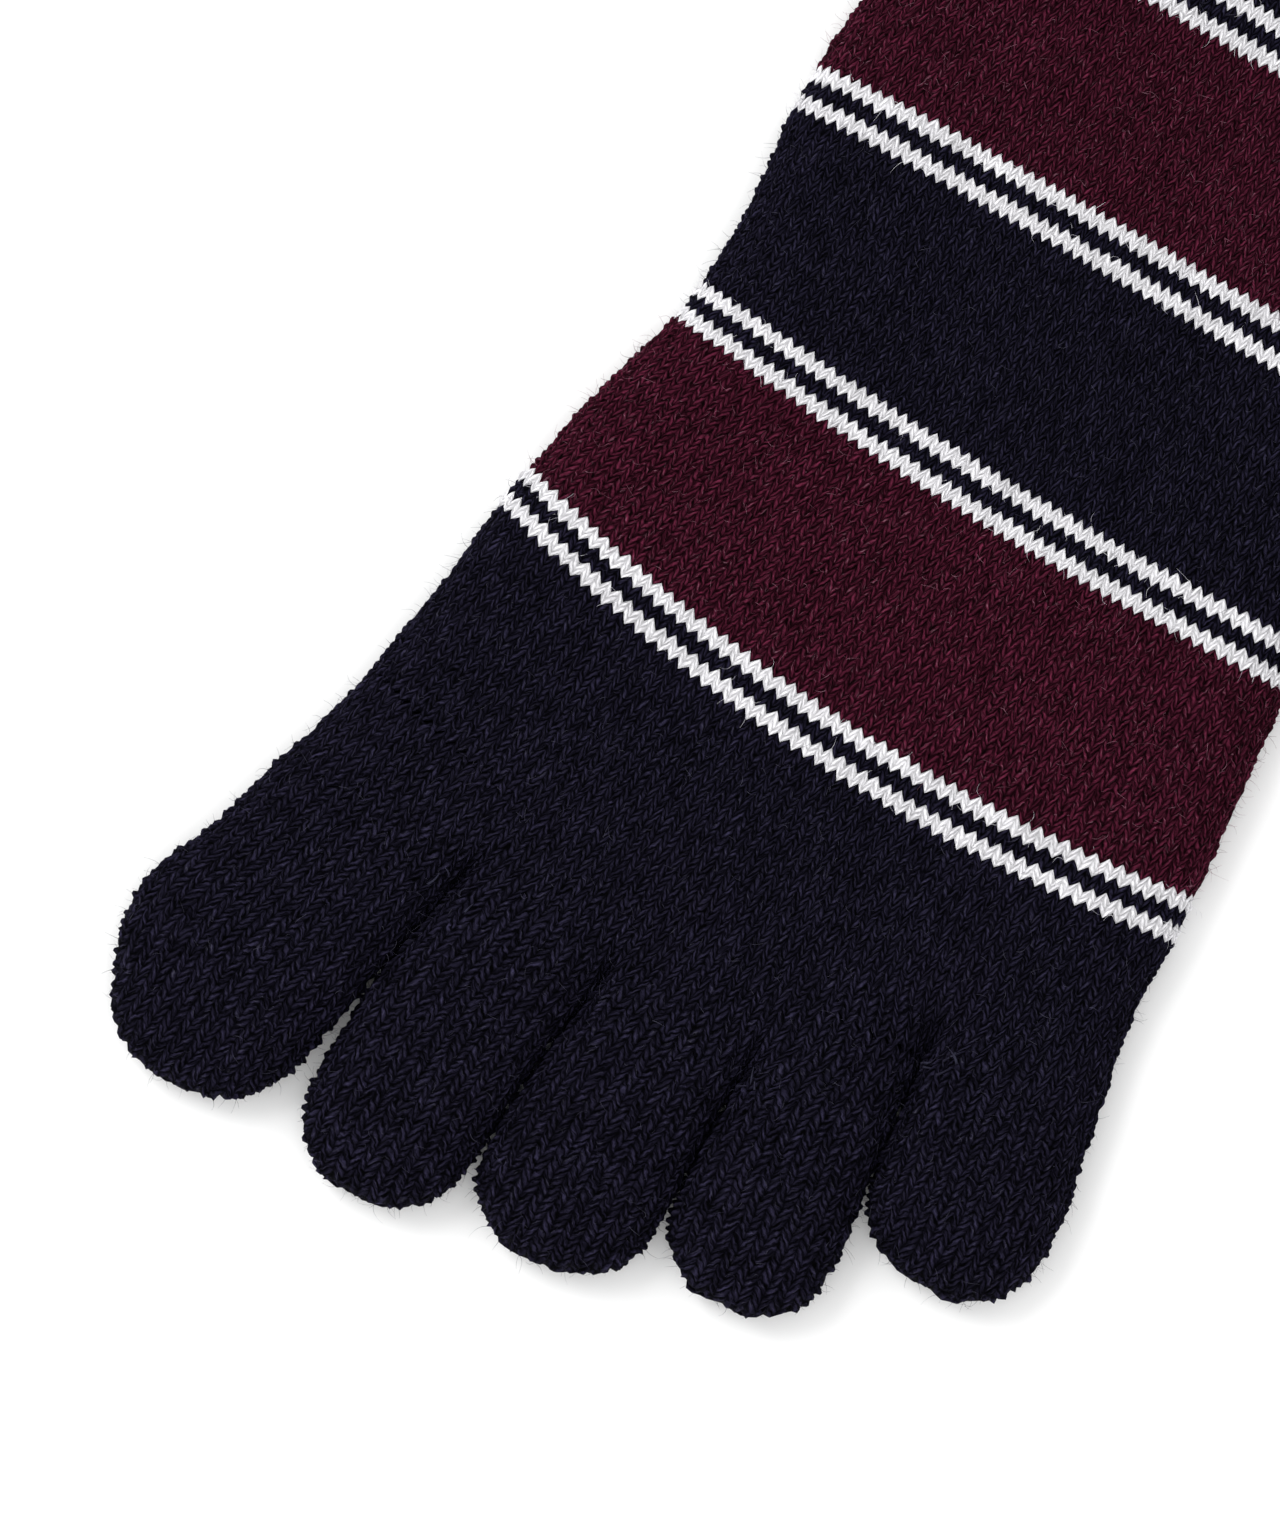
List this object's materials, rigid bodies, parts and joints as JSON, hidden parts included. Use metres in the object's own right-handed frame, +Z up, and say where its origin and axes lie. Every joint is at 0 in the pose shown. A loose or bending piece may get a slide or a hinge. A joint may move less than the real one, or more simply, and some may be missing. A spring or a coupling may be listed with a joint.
{
  "type": "toe sock",
  "caption": "Striped wool toe sock for a left foot, lying flat with its instep up, a knitted tube with separate toes and an open ribbed cuff.",
  "frame": {"origin": "under the middle of the sock's box, on the surface that it lies on", "axes": "+Y from the toes to the cuff along the foot, +Z up through the instep, +X towards the little toe"},
  "size_m": [0.1156, 0.328, 0.0102],
  "materials": {
    "navy_yarn": "heathered navy wool yarn, stockinette knit, matt with a soft fuzz",
    "burgundy_yarn": "heathered burgundy wool yarn, stockinette knit, matt with a soft fuzz",
    "white_yarn": "white wool yarn, stockinette knit, plump stitches, matt"
  },
  "bodies": {
    "root": {"big_toe": "navy_yarn", "second_toe": "navy_yarn", "third_toe": "navy_yarn", "fourth_toe": "navy_yarn", "little_toe": "navy_yarn", "forefoot_front": "navy_yarn", "forefoot": "navy_yarn", "white_line_1a": "white_yarn", "navy_line_1": "navy_yarn", "white_line_1b": "white_yarn", "burgundy_band_1": "burgundy_yarn", "white_line_2a": "white_yarn", "navy_line_2": "navy_yarn", "white_line_2b": "white_yarn", "navy_band": "navy_yarn", "white_line_3a": "white_yarn", "navy_line_3": "navy_yarn", "white_line_3b": "white_yarn", "burgundy_band_2": "burgundy_yarn", "white_line_4a": "white_yarn", "navy_line_4": "navy_yarn", "white_line_4b": "white_yarn", "heel": "navy_yarn", "leg": "navy_yarn", "cuff": "navy_yarn"}
  },
  "joints": []
}
